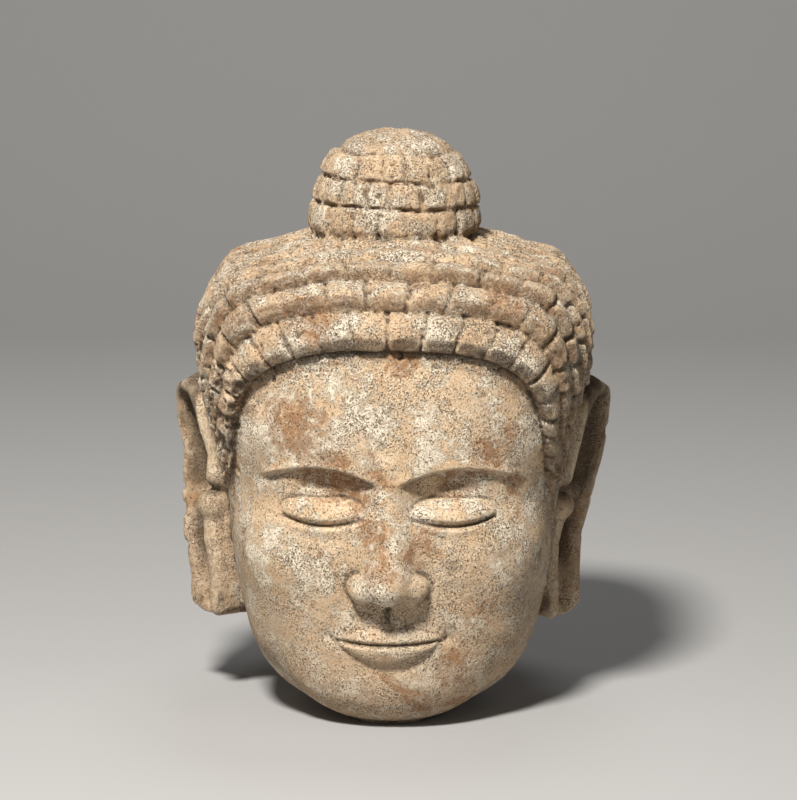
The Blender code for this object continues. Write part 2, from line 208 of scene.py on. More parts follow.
# Rounds of smoothing before a point is set against its neighbourhood, at the wide and the fine scale
WIDE_ROUNDS = 18
FINE_ROUNDS = 3


# Noise. The last number of each call is its seed.

# Multipliers that scatter whole numbers over 64 bits
HASH_STEP = np.uint64(0x9E3779B97F4A7C15)
HASH_FIRST = np.uint64(0xBF58476D1CE4E5B9)
HASH_SECOND = np.uint64(0x94D049BB133111EB)


def hashed(*numbers):
    """A repeatable random share from 0 to 1 for each set of whole numbers."""
    h = np.zeros(np.broadcast(*numbers).shape, dtype=np.uint64)
    for i, n in enumerate(numbers):
        whole = np.asarray(n).astype(np.int64).astype(np.uint64)
        h = (h ^ (whole * HASH_STEP)) + np.uint64(i)
        h = (h ^ (h >> np.uint64(30))) * HASH_FIRST
        h = (h ^ (h >> np.uint64(27))) * HASH_SECOND
        h = h ^ (h >> np.uint64(31))
    return (h >> np.uint64(40)).astype(float) / float(1 << 24)


def grain(p, size, seed):
    """Smooth noise from -1 to 1 with lumps of the given size."""
    q = p / size
    cell = np.floor(q)
    f = q - cell
    w = f * f * (3.0 - 2.0 * f)
    i = cell.astype(np.int64)
    total = np.zeros(len(p))
    for dx in (0, 1):
        for dy in (0, 1):
            for dz in (0, 1):
                weight = (
                    (w[:, 0] if dx else 1 - w[:, 0])
                    * (w[:, 1] if dy else 1 - w[:, 1])
                    * (w[:, 2] if dz else 1 - w[:, 2])
                )
                total += weight * hashed(i[:, 0] + dx, i[:, 1] + dy, i[:, 2] + dz, seed)
    return 2.0 * total - 1.0


def layered(p, size, seed, octaves=3):
    """Noise from -1 to 1 in which each octave is half as large and half as strong as the last."""
    total = np.zeros(len(p))
    share = 1.0
    for octave in range(octaves):
        total += share * grain(p, size / 2**octave, seed + octave)
        share *= 0.5
    return total / (2.0 - 2.0 ** (1 - octaves))


# Shaping curves

def between(value, low, high):
    """A smooth step, 0 up to low and 1 from high on."""
    share = np.clip((value - low) / (high - low), 0.0, 1.0)
    return share * share * (3.0 - 2.0 * share)


def bump(value, half_width):
    """A smooth hump, 1 in the middle and all but gone at twice its half width."""
    return np.exp(-((value / half_width) ** 2))


def arch(x, half_width, power):
    """A hump that ends at its half width; a power below 1 makes it fuller."""
    return np.clip(1.0 - (x / half_width) ** 2, 0.0, 1.0) ** power


# Bare head, alike on both sides: centre, half sizes and power of each rounded solid. The power is 2
# where none is given.

CRANIUM = ((0, 7, 164), (92, 94, 74), 2.7)
NECK_BLEND = 10
EYE_X = 34.0
EYE_SOCKET = ((EYE_X, -98, 125), (26, 15, 12))
EYEBALL = ((EYE_X, -66, 117), (20, 22, 14))
NOSE_TIP = ((0, -102, 79), (12, 11, 10))
NOSE_WING = ((13, -94, 76), (8, 11, 8))
NOSTRIL = ((7, -101, 67.5), (4, 5.5, 4))

# Top and bottom of the nose's ridge, and the radius at each
NOSE_RIDGE = ((0, -84, 138), (0, -97, 84), 8, 11.5)

# The same for the forms of the face, with how far each blends into those before it
FACE_FORMS = {
    "forehead": ((0, -20, 172), (87, 73, 58), 3.0, 8),
    "temples": ((0, -10, 122), (86, 84, 96), 2.3, 16),
    "jaw": ((0, -22, 72), (78, 71, 73), 2.5, 18),
    "cheekbone": ((44, -57, 90), (29, 29, 28), 2.0, 14),
    "chin": ((0, -66, 27), (43, 26, 26), 2.0, 16),
    "mouth": ((0, -70, 47), (34, 23, 21), 2.0, 10),
}

# Heights of the carved lines of the face
BROW_Z = 131.0
LID_Z = 114.0
MOUTH_Z = 47.0


def smooth_union(a, b, blend):
    """Distance to two solids at once, with a fillet of about the given size between them."""
    share = np.clip(0.5 + 0.5 * (b - a) / blend, 0.0, 1.0)
    return b * (1.0 - share) + a * share - blend * share * (1.0 - share)


def smooth_cut(a, b, blend):
    return -smooth_union(-a, b, blend)


def ellipsoid(p, centre, half, power=2.0):
    """Distance to a rounded solid; a power above 2 fills it out towards a box."""
    q = p - np.array(centre)
    size = np.sum(np.abs(q / np.array(half)) ** power, axis=-1) ** (1.0 / power)
    return (1.0 - 1.0 / np.maximum(size, 1e-6)) * np.linalg.norm(q, axis=-1)


def tapered_rod(p, start, end, start_radius, end_radius):
    """Distance to a rod with round ends."""
    a = np.array(start)
    along = np.array(end) - a
    share = np.clip(((p - a) @ along) / (along @ along), 0.0, 1.0)
    nearest = a + share[..., None] * along
    return np.linalg.norm(p - nearest, axis=-1) - (start_radius + share * (end_radius - start_radius))


def neck_post(p):
    """Distance to the oval post of the neck."""
    q = np.stack([p[..., 0] / NECK_HALF_WIDTH, (p[..., 1] - NECK_Y) / NECK_HALF_DEPTH], axis=-1)
    side = (np.linalg.norm(q, axis=-1) - 1.0) * NECK_HALF_WIDTH
    return np.maximum(side, p[..., 2] - NECK_TOP)


def skull_distance(p):
    """Distance to the bare head, cut off flat at the bottom."""
    m = np.concatenate([np.abs(p[..., :1]), p[..., 1:]], axis=-1)
    form = ellipsoid(m, *CRANIUM)
    for centre, half, power, blend in FACE_FORMS.values():
        form = smooth_union(form, ellipsoid(m, centre, half, power), blend)
    form = smooth_union(form, neck_post(m), NECK_BLEND)
    form = smooth_cut(form, ellipsoid(m, *EYE_SOCKET), 10)
    form = smooth_union(form, ellipsoid(m, *EYEBALL), 3)
    form = smooth_union(form, tapered_rod(m, *NOSE_RIDGE), 9)
    form = smooth_union(form, ellipsoid(m, *NOSE_TIP), 6)
    form = smooth_union(form, ellipsoid(m, *NOSE_WING), 5)
    form = smooth_cut(form, ellipsoid(m, *NOSTRIL), 2.5)
    return np.maximum(form, -p[..., 2])


def eye_relief(side, z):
    """Brow, upper lid, slit, edge of the lower lid, and the crease over the eye."""
    brow_z = BROW_Z + 9 * np.sin(np.clip((side - 4) / 66, 0, 1) * math.pi) ** 0.9
    brow_ends = between(side, 4, 10) * (1 - between(side, 58, 70))
    brow = (2.2 * bump(z - brow_z, 2.2) - 1.2 * bump(z - brow_z + 5.0, 2.5)) * brow_ends
    eye = side - EYE_X
    lid_z = LID_Z - 4.0 * arch(eye, 20, 1.0)
    crease_z = lid_z + 13.0 * arch(eye, 24, 0.6)
    lid_share = np.clip((z - lid_z) / np.maximum(crease_z - lid_z, 1.0), 0, 1)
    lid = arch(eye, 21, 0.5) * 2.9 * between(z - lid_z, -0.9, 0.5) * (1 - lid_share**2.0)
    slit = -2.2 * arch(eye, 22, 0.4) * bump(z - lid_z + 1.7, 1.0)
    under = 1.3 * arch(eye, 19, 0.6) * bump(z - lid_z + 4.4, 1.9)
    crease = -1.3 * arch(eye, 24, 0.6) * bump(z - crease_z, 1.2)
    return brow + lid + slit + under + crease


def lip(share):
    """Roundness of a lip, from the parting at 0 to its outer edge at 1."""
    return between(share, -0.12, 0.12) * (1.0 - np.clip(share, 0, 1) ** 2.2)


def mouth_relief(x, z):
    """Lips, their parting and corners, and the hollow under the lower lip."""
    side = np.abs(x)
    mouth_z = MOUTH_Z + 1.8 * (side / 27) ** 2
    upper_z = mouth_z + 0.5 + 8.5 * arch(x, 29, 0.7) - 1.8 * bump(x, 4)
    lower_z = mouth_z - 0.5 - 11.0 * arch(x, 26, 0.8)
    full = arch(x, 30, 0.6)
    upper = 3.2 * full * lip((z - mouth_z) / (upper_z - mouth_z))
    lower = 3.8 * full * lip((mouth_z - z) / (mouth_z - lower_z))
    parting = -3.0 * bump(z - mouth_z, 1.1) * arch(x, 31, 0.4)
    corner = -1.8 * bump(side - 31, 3.2) * bump(z - MOUTH_Z - 2.5, 3.2)
    hollow = -1.2 * bump(z - lower_z + 3.0, 3.0) * arch(x, 24, 0.6)
    return upper + lower + parting + corner + hollow


def nose_relief(side, z):
    """Groove from nose to lip, grooves round the nose wings, and folds beside the mouth."""
    philtrum = -1.4 * bump(side, 2.4) + 0.6 * bump(side - 4.4, 2.0)
    philtrum *= between(z, 56, 59) * (1 - between(z, 65, 68))
    wing = np.hypot((side - 13) / 9.5, (z - 77) / 9.0)
    wing_groove = -1.8 * bump(wing - 1.05, 0.16) * between(side, 12, 17) * (1 - between(z, 84, 90))
    fold_x = 20 + 0.55 * (74 - z)
    fold = -0.9 * bump(side - fold_x, 2.8) * between(z, 46, 54) * (1 - between(z, 68, 78))
    return philtrum + wing_groove + fold


def face_relief(x, z):
    """Height in parts of the brows, lids, lips and folds over the face, by place across and up it."""
    side = np.abs(x)
    return eye_relief(side, z) + mouth_relief(x, z) + nose_relief(side, z)


# Hair surface and its rows

def hair_level(x, y, z):
    """Below 1 inside the hair mass and above 1 outside it."""
    up = z - HAIR_CENTRE_Z
    half_width = HAIR_HALF_WIDTH * (1.0 - HAIR_TAPER * between(-up, -HAIR_TAPER_TOP, -HAIR_TAPER_BOTTOM))
    across = np.abs(x / half_width) ** HAIR_FRONT_POWER
    high = np.abs(up / np.where(up > 0, HAIR_RISE, HAIR_DROP)) ** HAIR_FRONT_POWER
    back = (y - HAIR_CENTRE_Y) / HAIR_HALF_DEPTH
    rise = between(z, HAIR_TEMPLE_Z, HAIR_BROW_Z)
    front_power = HAIR_TEMPLE_POWER + (HAIR_BROW_POWER - HAIR_TEMPLE_POWER) * rise
    deep = np.abs(back) ** np.where(back < 0, front_power, HAIR_SIDE_POWER)
    return (across + high) ** (HAIR_SIDE_POWER / HAIR_FRONT_POWER) + deep


def hair_distance(p):
    """Distance to the hair mass, below 0 inside it."""
    size = hair_level(p[:, 0], p[:, 1], p[:, 2]) ** (1.0 / HAIR_SIDE_POWER)
    away = np.linalg.norm(p - np.array([0.0, HAIR_CENTRE_Y, HAIR_CENTRE_Z]), axis=1)
    return (1.0 - 1.0 / np.maximum(size, 1e-6)) * away


def halving(test, shape):
    """The largest reach that still passes the test, found by ever smaller steps."""
    reach = np.zeros(shape)
    step = HAIR_REACH
    for _ in range(HAIR_HALVINGS):
        step *= 0.5
        reach = np.where(test(reach + step), reach + step, reach)
    return reach


def hair_points(foot, head, turn):
    """Points of the hair on the plane through foot and head, turned away from the line between them."""
    up = (head - foot) / np.linalg.norm(head - foot)

    def at(radius):
        rise = radius * np.cos(turn)
        return np.stack([radius * np.sin(turn), foot[0] + rise * up[0], foot[1] + rise * up[1]], axis=-1)

    def inside(radius):
        return hair_level(*np.moveaxis(at(radius), -1, 0)) < 1

    return at(halving(inside, turn.shape))


def run_along(points):
    steps = np.linalg.norm(np.diff(points, axis=0), axis=1)
    return np.concatenate([[0.0], np.cumsum(steps)])


def evenly(points, count):
    """count + 1 points spaced evenly along a run of points."""
    run = run_along(points)
    places = np.linspace(0.0, run[-1], count + 1)
    columns = [np.interp(places, run, column) for column in points.T]
    return np.stack(columns, axis=-1)


def middle_line():
    """The hair's middle line, from the hairline over the crown to the nape, as places (y, z)."""
    turns = np.linspace(-math.pi, math.pi, MIDDLE_STEPS + 1)

    def at(radius):
        return HAIR_CENTRE_Y + radius * np.sin(turns), HAIR_CENTRE_Z + radius * np.cos(turns)

    def inside(radius):
        return hair_level(0.0, *at(radius)) < 1

    y, z = at(halving(inside, turns.shape))
    kept = z > np.where(turns < 0, HAIRLINE_Z, NAPE_Z)
    return np.stack([y[kept], z[kept]], axis=-1)


def row_planes(rows):
    """Foot and head of each of rows + 1 row planes, front to back."""
    heads = evenly(middle_line(), rows)
    shares = np.linspace(0.0, 1.0, rows + 1)[:, None]
    feet = (1 - shares) * np.array([TEMPLE_Y, TEMPLE_Z]) + shares * np.array([LAST_FOOT_Y, LAST_FOOT_Z])
    return feet, heads


def hair_normals(p):
    """Outward directions of the hair surface at points on it."""
    step = 0.5
    slopes = []
    for axis in range(3):
        shift = np.zeros(3)
        shift[axis] = step
        ahead = hair_level(*(p + shift).T)
        behind = hair_level(*(p - shift).T)
        slopes.append(ahead - behind)
    slopes = np.stack(slopes, axis=-1)
    return slopes / np.linalg.norm(slopes, axis=1, keepdims=True)


def joint_cut(across, row, width, half_width, seed):
    """Depth from 0 to 1 of the joints between neighbouring blocks, each a little off its place."""
    column = np.floor(across)
    share = across - column
    cut = np.zeros(across.shape)
    for nearer in (0, 1):
        depth = 0.35 + 0.65 * hashed(row, column + nearer, seed)
        shift = 0.16 * (hashed(row, column + nearer, seed + 1) - 0.5)
        cut = np.maximum(cut, depth * bump((share - nearer - shift) * width, half_width))
    return cut


def row_waver(p):
    """How far the edges of the rows stray from their planes, in rows."""
    return 0.06 * grain(p, 20, 11) + 0.035 * grain(p, 7, 12)


def hair_wear(p, normals):
    """How worn the curls are: most on the crown, a little behind, and in patches."""
    crown = between(normals[:, 2], 0.80, 0.97) * between(p[:, 1], -74, -60)
    behind = between(p[:, 1], 20, 60)
    patches = between(layered(p, 30, 31), -0.1, 0.5)
    return np.clip(PATCH_WEAR * patches + CROWN_WEAR * crown + BACK_WEAR * behind, 0.0, MOST_WEAR)


def hair_sink(p):
    """How far the hair is worn back in parts at its sides, on its shoulders and behind."""
    side = SIDE_SINK + 1.8 * between(p[:, 2], 172, 192) + 0.9 * between(p[:, 2], 205, 220)
    side *= between(np.abs(p[:, 0]), 76, 98)
    shoulder = SHOULDER_SINK * between(np.abs(p[:, 0]), 28, 60) * between(p[:, 2], 222, 238)
    return np.maximum(side, shoulder) + BACK_SINK * between(p[:, 1], 60, 95)


def hair_height(p, normals, row_place, curl_place):
    """Height of the curls over the hair mass, and how far each sags over the row in front of it."""
    placed = np.where(row_place < 0.1, row_place, np.maximum(row_place + row_waver(p), 0.0))
    row = np.floor(np.minimum(placed, ROWS - 0.001))
    up = placed - row
    across = curl_place + 0.5 * (row % 2) + 0.2 * (hashed(row, 15) - 0.5) + 0.07 * grain(p, 12, 13)
    column = np.floor(across)
    share = across - column
    fringe = row < 1
    on_side = between(np.abs(curl_place), 4.0, 7.0)
    wear = hair_wear(p, normals)

    cut = joint_cut(across, row, CURL_WIDTH, 0.75 + 0.35 * on_side, 21)
    cut *= np.where(fringe, 1.0, 0.8 + 0.2 * up)
    strong = between(grain(p, 24, 26) + 0.4 * on_side, -0.7, 0.0)
    line = np.where(fringe, 0.0, (0.65 + 0.35 * strong) * (1 - between(up, 0.03, 0.10)))
    cut = np.maximum(cut * (1 - 0.85 * wear), line * (1 - 0.5 * wear))

    wall = np.where(fringe, 0.42 + 0.58 * np.clip(up / 0.24, 0, 1), np.clip((up - 0.02) / 0.27, 0, 1))
    round_up = wall * (1 - (0.80 - 0.25 * on_side) * np.clip((up - 0.28) / 0.72, 0, 1) ** 1.7)
    outer = np.where(curl_place > 0, share, 1 - share)
    round_across = 0.84 + 0.16 * (1 - (2 * share - 1) ** 4) + 0.5 * on_side * (outer - 0.62)
    height = np.where(fringe, FRINGE_RELIEF, CURL_RELIEF + hashed(row, column, 24) - 0.6)
    height = height * round_up * round_across * (1 - 0.55 * wear)
    height *= 1 + 0.2 * (1 - on_side) * (row > 0)
    by_ear = between(np.abs(p[:, 0]), 84, 90) * between(p[:, 1], -40, -20)
    by_ear *= 1 - between(p[:, 2], 155, 180)
    height -= EAR_CLEARANCE * by_ear * round_up
    height = height * (1 - cut) - (GROOVE_DEPTH + 0.7 * on_side) * cut * (1 - 0.45 * wear)
    height -= hair_sink(p)

    temple = between(-p[:, 0], 62, 80) * (1 - between(p[:, 2], 180, 205))
    pocks = between(layered(p, 5, 35), 0.05, 0.4)
    lumps = TEMPLE_LUMPS * (layered(p, 8, 33) - 0.7 * pocks) * temple
    overhang = OVERHANG * (1 - between(up, 0.05, 0.5)) * (1 - cut) * (1 - wear)
    return height * (1 - 0.40 * temple) + lumps, overhang * (1 - temple)


def row_places(y, z):
    """How many rows back from the front edge each place of the hair is."""
    feet, heads = row_planes(ROWS * STEPS_PER_ROW)
    place = np.zeros(len(y))
    for foot, head in zip(feet, heads):
        up = (head - foot) / np.linalg.norm(head - foot)
        place += between((y - foot[0]) * up[1] - (z - foot[1]) * up[0], -0.4, 0.4)
    return place / STEPS_PER_ROW


def knot_radius(z):
    """Radius of the dome: widest near its foot, and drawn in again under that."""
    above = np.clip((z - KNOT_WIDEST_Z) / (KNOT_TOP - KNOT_WIDEST_Z), 0.0, 1.0)
    below = np.clip((KNOT_WIDEST_Z + 4.0 - z) / 12.0, 0.0, 1.4)
    dome = KNOT_RADIUS * (1.0 - above**KNOT_POWER) ** (1.0 / KNOT_ROUNDNESS)
    return dome - KNOT_UNDERCUT * below**1.5


def knot_height(p, turn):
    """Height of the topknot's bands of curls over its dome."""
    z = p[:, 2] + KNOT_TILT * p[:, 0] + 1.3 * grain(p, 18, 41) + 0.6 * grain(p, 7, 42)
    rings = np.array(KNOT_RINGS)
    band = np.searchsorted(rings, z)
    carved = (band > 0) & (band < len(rings))
    above = z - rings[np.maximum(band - 1, 0)]
    below = np.where(band < len(rings), rings[np.minimum(band, len(rings) - 1)] - z, FAR)
    left = between(-p[:, 0], -25, 15)

    line = np.maximum(1 - between(np.where(band > 1, above, FAR), 0.0, 1.6), bump(below, 0.9))
    line = np.where(band == 0, 0.0, line) * (0.55 + 0.45 * between(grain(p, 16, 46) + left, -0.3, 0.4))
    across = turn / (2 * math.pi) * KNOT_CURLS + 0.5 * (band % 2) + 0.07 * grain(p, 9, 43)
    joints = joint_cut(across, band, KNOT_CURL_WIDTH, 1.25, 45) * (0.5 + 0.9 * left)
    cut = np.maximum(np.minimum(joints, 1.0) * carved, 0.85 * line)

    size = np.diff(np.append(rings, KNOT_TOP))[np.clip(band - 1, 0, len(rings) - 1)]
    up = np.clip(above / size, 0, 1)
    reach = np.where(up < KNOT_CREST, KNOT_CREST + 0.10, 1.15 - KNOT_CREST)
    round_up = 0.25 + 0.75 * np.sqrt(np.clip(1 - ((up - KNOT_CREST) / reach) ** 2, 0, 1))
    round_up = np.where(band == 1, 1 - 0.35 * up, round_up)
    column = np.floor(across)
    round_across = 0.80 + 0.20 * (1 - (2 * (across - column) - 1) ** 4)
    height = (KNOT_RELIEF + 1.6 * (hashed(band, column, 44) - 0.6)) * round_up * round_across
    height = np.where(carved, height, 0.7 * (band > 0))
    return height * (1 - cut) - KNOT_GROOVE_DEPTH * cut


# Ear surface and its relief

def stroke_distance(u, v, points):
    """Distance across the ear's face to a line through points, and how far along it that is."""
    spot = np.stack([u, v], axis=-1)
    best = np.full(u.shape, np.inf)
    along = np.zeros(u.shape)
    ends = np.array(points, float)
    for i, (a, b) in enumerate(zip(ends[:-1], ends[1:])):
        step = b - a
        share = np.clip(((spot - a) @ step) / (step @ step), 0.0, 1.0)
        gap = np.linalg.norm(spot - (a + share[..., None] * step), axis=-1)
        along = np.where(gap < best, (i + share) / (len(ends) - 1), along)
        best = np.minimum(gap, best)
    return best, along


def roll(gap, half_width):
    """Cross-section of a rolled rim, 1 on its crest and 0 beyond its half width."""
    return np.sqrt(np.clip(1.0 - (gap / half_width) ** 2, 0.0, 1.0))


def ear_relief(u, v):
    """Height in parts of the helix, rim, hollow, lobe and slit over the ear's slab."""
    helix_gap, helix_along = stroke_distance(u, v, EAR_HELIX)
    helix = roll(helix_gap, HELIX_HALF_WIDTH - 1.4 * between(helix_along, 0.6, 1.0))
    helix = np.where(helix_gap < HELIX_HALF_WIDTH, HELIX_RELIEF * helix**0.7, EAR_SUNK)
    helix += EAR_SUNK * (1 - between(v, 107, 118))
    rim_gap, rim_along = stroke_distance(u, v, EAR_RIM)
    rim = roll(rim_gap, RIM_HALF_WIDTH - 1.6 * between(rim_along, 0.0, 0.4))
    rim *= RIM_RELIEF - 4.8 * between(rim_along, 0.05, 0.4)
    rim = np.where(rim_gap < RIM_HALF_WIDTH, rim, EAR_SUNK)
    lobe_gap, lobe_along = stroke_distance(u, v, EAR_LOBE)
    knob = 1 - between(lobe_along, 0.05, 0.33)
    lobe = roll(lobe_gap, LOBE_HALF_WIDTH + KNOB_WIDENING * knob) ** 0.6
    lobe *= LOBE_RELIEF + KNOB_RELIEF * knob
    lobe = np.where(lobe_gap < LOBE_HALF_WIDTH + KNOB_WIDENING, lobe, EAR_SUNK)
    slit_gap, _ = stroke_distance(u, v, EAR_SLIT)
    slit = -SLIT_DEPTH * bump(slit_gap, SLIT_HALF_WIDTH) * (0.35 + 0.65 * between(v, 66, 82))
    strip = STRIP_RELIEF * bump(u - 29, 3.0)
    shell = -SHELL_DEPTH + 6.5 * between(u, 19, 32)
    low = 1 - between(v, 98, 112)
    return np.maximum.reduce([helix, rim, lobe, shell * (1 - low) + (strip + slit) * low])


def ear_stray(side, v):
    """How far the worn ear strays outwards at a height; side is below 0 for the left ear."""
    left = np.interp(v, EAR_STRAY_Z, LEFT_STRAY)
    right = np.interp(v, EAR_STRAY_Z, RIGHT_STRAY)
    return np.where(side < 0, left, right)


def ear_root(v):
    """How far out the front of the ear lies: the lobe hangs closer to the jaw than the top."""
    return EAR_FRONT_X - EAR_LOBE_SHIFT * (1 - between(v, 70, 140))


def ear_points(across, up, relief=1.0):
    """Ear surface from shares across and up it: its ends are rounded and it narrows to the lobe."""
    v = EAR_BOTTOM + (EAR_TOP - EAR_BOTTOM) * up
    width = EAR_WIDTH_BOTTOM + (EAR_WIDTH_TOP - EAR_WIDTH_BOTTOM) * between(up, 0.0, 0.75)
    end = np.minimum((v - EAR_BOTTOM) / EAR_BOTTOM_ROUNDING, (EAR_TOP - v) / EAR_TOP_ROUNDING)
    rounding = EAR_TIP_SHARE + (1 - EAR_TIP_SHARE) * np.sqrt(1 - (1 - np.clip(end, 0, 1)) ** 2)
    u = width * (0.5 + (across - 0.5) * rounding)
    out = relief * ear_relief(u, v)
    x = ear_root(v) + u * math.sin(EAR_FLARE) + out * math.cos(EAR_FLARE)
    y = EAR_FRONT_Y + u * math.cos(EAR_FLARE) - out * math.sin(EAR_FLARE)
    return np.stack([x, y, v], axis=-1)


# Base meshes, fused by a voxel remesh

def grid_faces(rows, columns, first=0, flip=False):
    index = first + np.arange(rows * columns).reshape(rows, columns)
    corners = (index[:-1, :-1], index[:-1, 1:], index[1:, 1:], index[1:, :-1])
    faces = np.stack(corners, axis=-1).reshape(-1, 4)
    return faces[:, ::-1] if flip else faces


def slab(outer, inner):
    """Points and faces of a closed slab between two grids of points of one shape."""
    rows, columns = outer.shape[:2]
    count = rows * columns
    index = np.arange(count).reshape(rows, columns)
    edge = np.concatenate([index[0, :-1], index[:-1, -1], index[-1, :0:-1], index[:0:-1, 0]])
    after = np.roll(edge, -1)
    walls = np.stack([edge, edge + count, after + count, after], axis=-1)
    front = grid_faces(rows, columns)
    back = grid_faces(rows, columns, count, flip=True)
    points = np.concatenate([outer.reshape(-1, 3), inner.reshape(-1, 3)])
    return points, np.concatenate([front, back, walls])


def skull_solid():
    """The bare head as a cube blown up along rays from the middle of it."""
    bm = bmesh.new()
    bmesh.ops.create_cube(bm, size=2.0)
    bmesh.ops.subdivide_edges(bm, edges=bm.edges[:], cuts=SKULL_CELLS - 1, use_grid_fill=True)
    corners = np.array([v.co for v in bm.verts])
    faces = np.array([[v.index for v in f.verts] for f in bm.faces])
    bm.free()
    directions = np.tan(corners * math.pi / 4)
    directions /= np.linalg.norm(directions, axis=1, keepdims=True)
    origin = np.array(RAY_ORIGIN)
    low = np.full(len(directions), RAY_LOW)
    high = np.full(len(directions), RAY_HIGH)
    for _ in range(SKULL_HALVINGS):
        middle = 0.5 * (low + high)
        inside = skull_distance(origin + middle[:, None] * directions) < 0
        low = np.where(inside, middle, low)
        high = np.where(inside, high, middle)
    return origin + low[:, None] * directions, faces


def hair_solid():
    """The hair as a closed slab, row by row and from ear to ear, with its curls raised."""
    feet, heads = row_planes(ROWS * STEPS_PER_ROW)
    turns = np.linspace(-math.pi / 2, math.pi / 2, TURN_STEPS + 1)
    base = np.array([evenly(hair_points(f, h, turns), STEPS_ACROSS) for f, h in zip(feet, heads)])
    rows, columns = base.shape[:2]
    side = np.linspace(-1, 1, columns)
    curls = 0.5 * CURLS_ACROSS * side * (FRONT_CROWDING + (1 - FRONT_CROWDING) * np.abs(side) ** 1.5)
    row_place, curl_place = np.meshgrid(np.linspace(0, ROWS, rows), curls, indexing="ij")
    flat = base.reshape(-1, 3)
    normals = hair_normals(flat)
    height, overhang = hair_height(flat, normals, row_place.ravel(), curl_place.ravel())
    back = np.gradient(base, axis=0).reshape(-1, 3)
    back /= np.maximum(np.linalg.norm(back, axis=1, keepdims=True), 1e-6)
    outer = (flat + height[:, None] * normals - overhang[:, None] * back).reshape(base.shape)
    return slab(outer, base - HAIR_DEPTH * normals.reshape(base.shape))


def knot_solid():
    """The topknot as a closed dome of rings, closer together near its top."""
    cap = KNOT_TOP - (KNOT_TOP - KNOT_CAP_Z) * np.linspace(1, 0.03, 30)[1:] ** 2
    levels = np.concatenate([np.linspace(KNOT_BASE_Z, KNOT_CAP_Z, 110), cap])
    turns = np.linspace(0, 2 * math.pi, KNOT_STEPS, endpoint=False)
    z, turn = np.meshgrid(levels, turns, indexing="ij")
    radius = knot_radius(z)
    base = np.stack([radius * np.sin(turn), KNOT_Y - radius * np.cos(turn), z], axis=-1).reshape(-1, 3)
    height = knot_height(base, (turn.ravel() + math.pi) % (2 * math.pi) - math.pi)
    rise = np.gradient(radius, axis=0) / np.gradient(z, axis=0)
    out = np.stack([np.sin(turn), -np.cos(turn), -rise], axis=-1) / np.sqrt(1 + rise**2)[..., None]
    points = base + height[:, None] * out.reshape(-1, 3)
    index = np.arange(turn.size).reshape(turn.shape)
    after = np.roll(index, -1, axis=1)
    faces = np.stack([index[:-1], after[:-1], after[1:], index[1:]], axis=-1).reshape(-1, 4).tolist()
    return points, faces + [index[0, ::-1].tolist(), index[-1].tolist()]


def ear_solid(side):
    """One ear as a closed slab; side is 1 for the right ear and -1 for the left ear."""
    across, up = np.meshgrid(np.linspace(0, 1, EAR_STEPS_ACROSS), np.linspace(0, 1, EAR_STEPS_UP))
    # Steps lie closer together at the lobe and at the top, where the ear curves most
    up = up - 0.09 * np.sin(2 * math.pi * up)
    outer = ear_points(across, up)
    depth = EAR_THICKNESS * (1.0 - EAR_THINNING * across)
    inward = np.array([-math.cos(EAR_FLARE), math.sin(EAR_FLARE), 0.0])
    inner = ear_points(across, up, relief=0.0) + depth[..., None] * inward
    points, faces = slab(outer, inner)
    points[:, 0] += ear_stray(side, points[:, 2]) * between(points[:, 0], 62, 80)
    points[:, 0] *= side
    return points, faces[:, ::-1] if side < 0 else faces


def fused(solids):
    """One mesh of all the solids, by joining them and remeshing the outside in voxels."""
    points = []
    faces = []
    first = 0
    for solid_points, solid_faces in solids:
        points.append(solid_points)
        faces.extend((np.array(f) + first).tolist() for f in solid_faces)
        first += len(solid_points)
    mesh = bpy.data.meshes.new("fused")
    mesh.from_pydata((np.concatenate(points) * PART).tolist(), [], faces)
    whole = bpy.data.objects.new("fused", mesh)
    bpy.context.scene.collection.objects.link(whole)
    remesh = whole.modifiers.new("voxels", "REMESH")
    remesh.mode = "VOXEL"
    remesh.voxel_size = VOXEL * PART
    whole_mesh = baked(whole)
    bpy.data.objects.remove(whole)
    return whole_mesh


def baked(obj):
    """A new mesh of an object with its modifiers applied."""
    return bpy.data.meshes.new_from_object(obj.evaluated_get(bpy.context.evaluated_depsgraph_get()))


# Carving

def ear_places(x, y, z):
    """Each point's place back from the ear's front edge, and how far it belongs to the ear."""
    ear_x = np.abs(x) - ear_root(z) - ear_stray(x, z)
    u = ear_x * math.sin(EAR_FLARE) + (y - EAR_FRONT_Y) * math.cos(EAR_FLARE)
    out = ear_x * math.cos(EAR_FLARE) - (y - EAR_FRONT_Y) * math.sin(EAR_FLARE)
    share = between(u, -2, 1) * (1 - between(u, 38, 41)) * between(out, -14.0, -10.0)
    share *= between(z, 38, 41) * (1 - between(z, 173, 175)) * between(ear_x, -4, -1)
    return u, share


def worked(p, n, on_hair, ear_u, on_ear):
    """Points moved along their normals by the face's lines, the stone's grain, chips and wear."""
    x, y, z = p.T
    height = between(-y, *FACE_FRONT) * (1 - on_hair) * between(z, 2, 8) * face_relief(x, z)
    height += (COARSE_GRAIN + HAIR_COARSE_GRAIN * on_hair) * layered(p, 5.0, 51)
    height += (FINE_GRAIN + HAIR_FINE_GRAIN * on_hair) * grain(p, 2.0, 54)
    chips = between(layered(p, 6.5, 61), 0.40, 0.62)
    height -= chips * (CHIP_DEPTH + HAIR_CHIP_DEPTH * on_hair)
    ragged = between(ear_u, 27, 33) * on_ear * (1 - 0.6 * between(x, -20, 20))
    height -= (RAGGED_DEPTH * between(layered(p, 7, 65), 0.0, 0.5) - 0.5) * ragged
    height *= between(z, 1.0, 7.0)
    return p + height[:, None] * n


